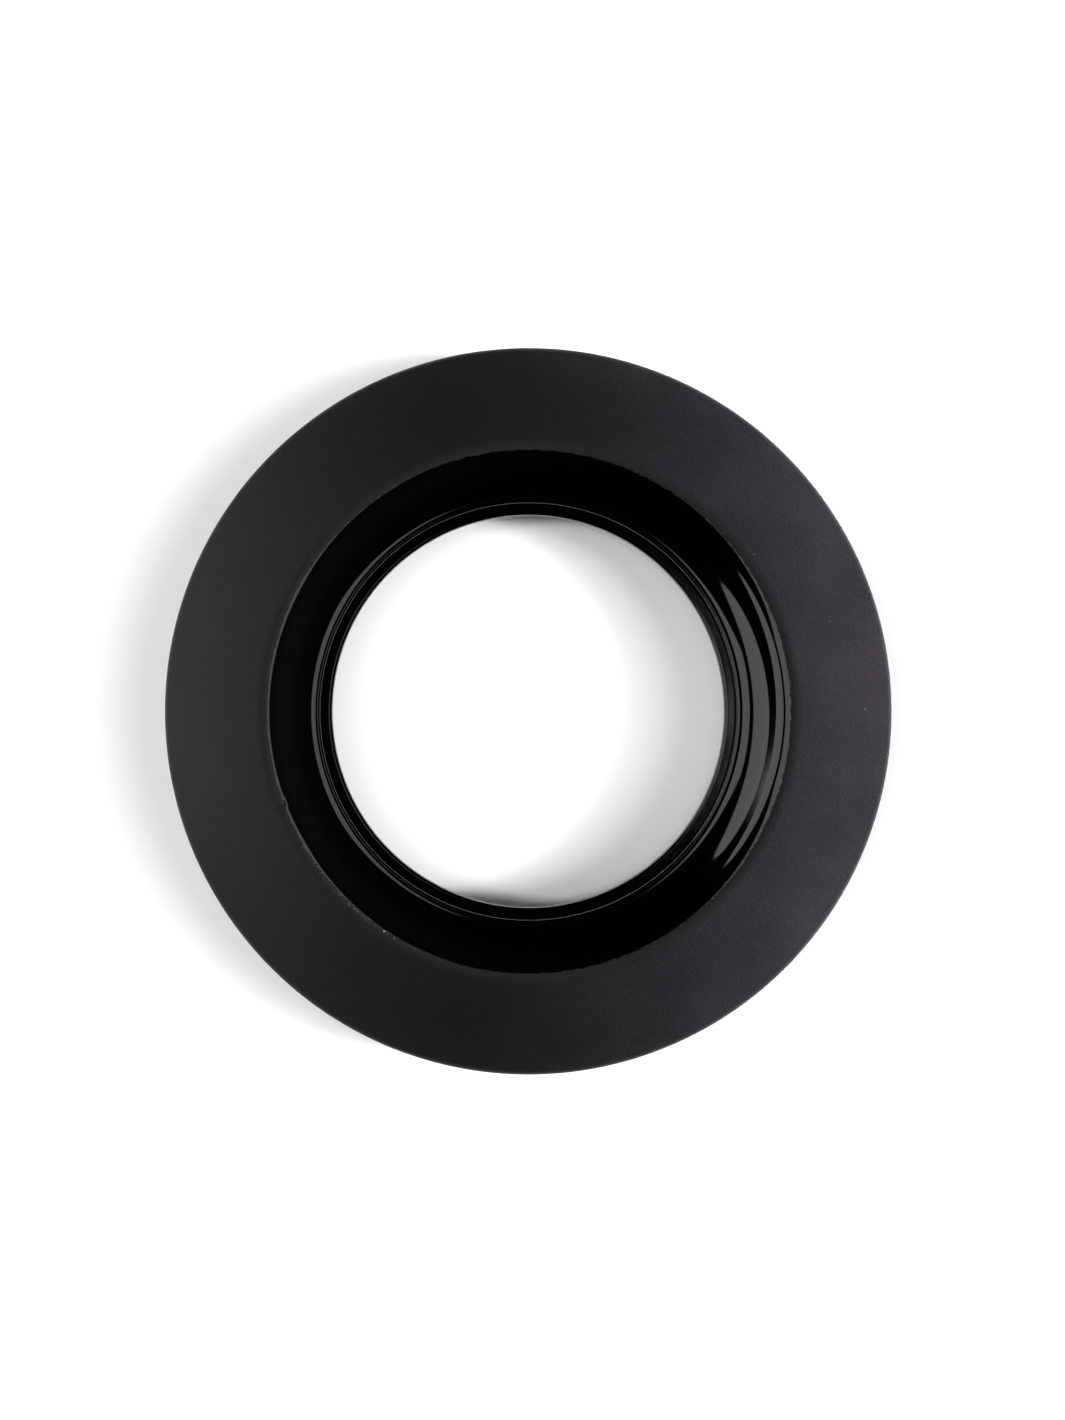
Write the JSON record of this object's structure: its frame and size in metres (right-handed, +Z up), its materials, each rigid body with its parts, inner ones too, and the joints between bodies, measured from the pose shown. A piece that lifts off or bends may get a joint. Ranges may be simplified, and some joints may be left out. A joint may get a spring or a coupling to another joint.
{
  "type": "sink flange with twist-lock mount",
  "caption": "Round black wide-rim sink throat for a kitchen garbage disposal, on a steel flange with seals, clamp ring, clamp screws and a twist-lock ring.",
  "frame": {"origin": "throat axis at the plane the lower lock ring stands on", "axes": "+Z up along the throat axis, from the lower lock ring to the rim; +Y through the first clamp screw"},
  "size_m": [0.148, 0.148, 0.051],
  "materials": {
    "black_moulding": "fine moulded grain on the rim, polished gloss inside the throat",
    "black_rubber": "smooth moulded rubber",
    "black_foam": "closed-cell foam",
    "stainless": "drawn and brushed sheet",
    "fiber_sheet": "pressed vulcanised fibre",
    "zinc_steel": "bright zinc plating",
    "screw_steel": "plated, machine cut",
    "spring_steel": "oiled spring steel"
  },
  "bodies": {
    "flange": {"flange_trim": "black_moulding", "throat_seal": "black_rubber", "steel_flange": "stainless", "deck_gasket": "black_rubber", "rim_seal": "black_foam", "snap_ring": "spring_steel"},
    "clamp": {"backup_flange": "zinc_steel", "fiber_gasket": "fiber_sheet"},
    "mounting_ring": {"mounting_ring": "zinc_steel"},
    "screw_1": {"clamp_screw_1": "screw_steel"},
    "screw_2": {"clamp_screw_2": "screw_steel"},
    "screw_3": {"clamp_screw_3": "screw_steel"},
    "cushion": {"mount_cushion": "black_rubber"},
    "lock_ring": {"lower_lock_ring": "zinc_steel"}
  },
  "joints": [
    {"name": "clamp_slide", "type": "slide", "parent": "flange", "child": "clamp", "axis": [0, 0, 1], "range_m": [0, 0.0055]},
    {"name": "mounting_ring_turn", "type": "hinge", "parent": "flange", "child": "mounting_ring", "pos_m": [0, 0, 0.0217], "axis": [0, 0, 1], "continuous": true},
    {"name": "screw_1_travel", "type": "slide", "parent": "mounting_ring", "child": "screw_1", "axis": [0, 0, 1], "range_m": [-0.005, 0]},
    {"name": "screw_2_travel", "type": "slide", "parent": "mounting_ring", "child": "screw_2", "axis": [0, 0, 1], "range_m": [-0.005, 0]},
    {"name": "screw_3_travel", "type": "slide", "parent": "mounting_ring", "child": "screw_3", "axis": [0, 0, 1], "range_m": [-0.005, 0]},
    {"name": "cushion_rise", "type": "slide", "parent": "mounting_ring", "child": "cushion", "axis": [0, 0, 1], "range_m": [-0.0041, 0]},
    {"name": "lock_ring_turn", "type": "hinge", "parent": "cushion", "child": "lock_ring", "pos_m": [0, 0, 0.001], "axis": [0, 0, 1], "range_deg": [-28, 0]}
  ],
  "couplings": [
    {"joint": "cushion_rise", "follows": "lock_ring_turn", "m_per_rad": 0.0081851}
  ]
}
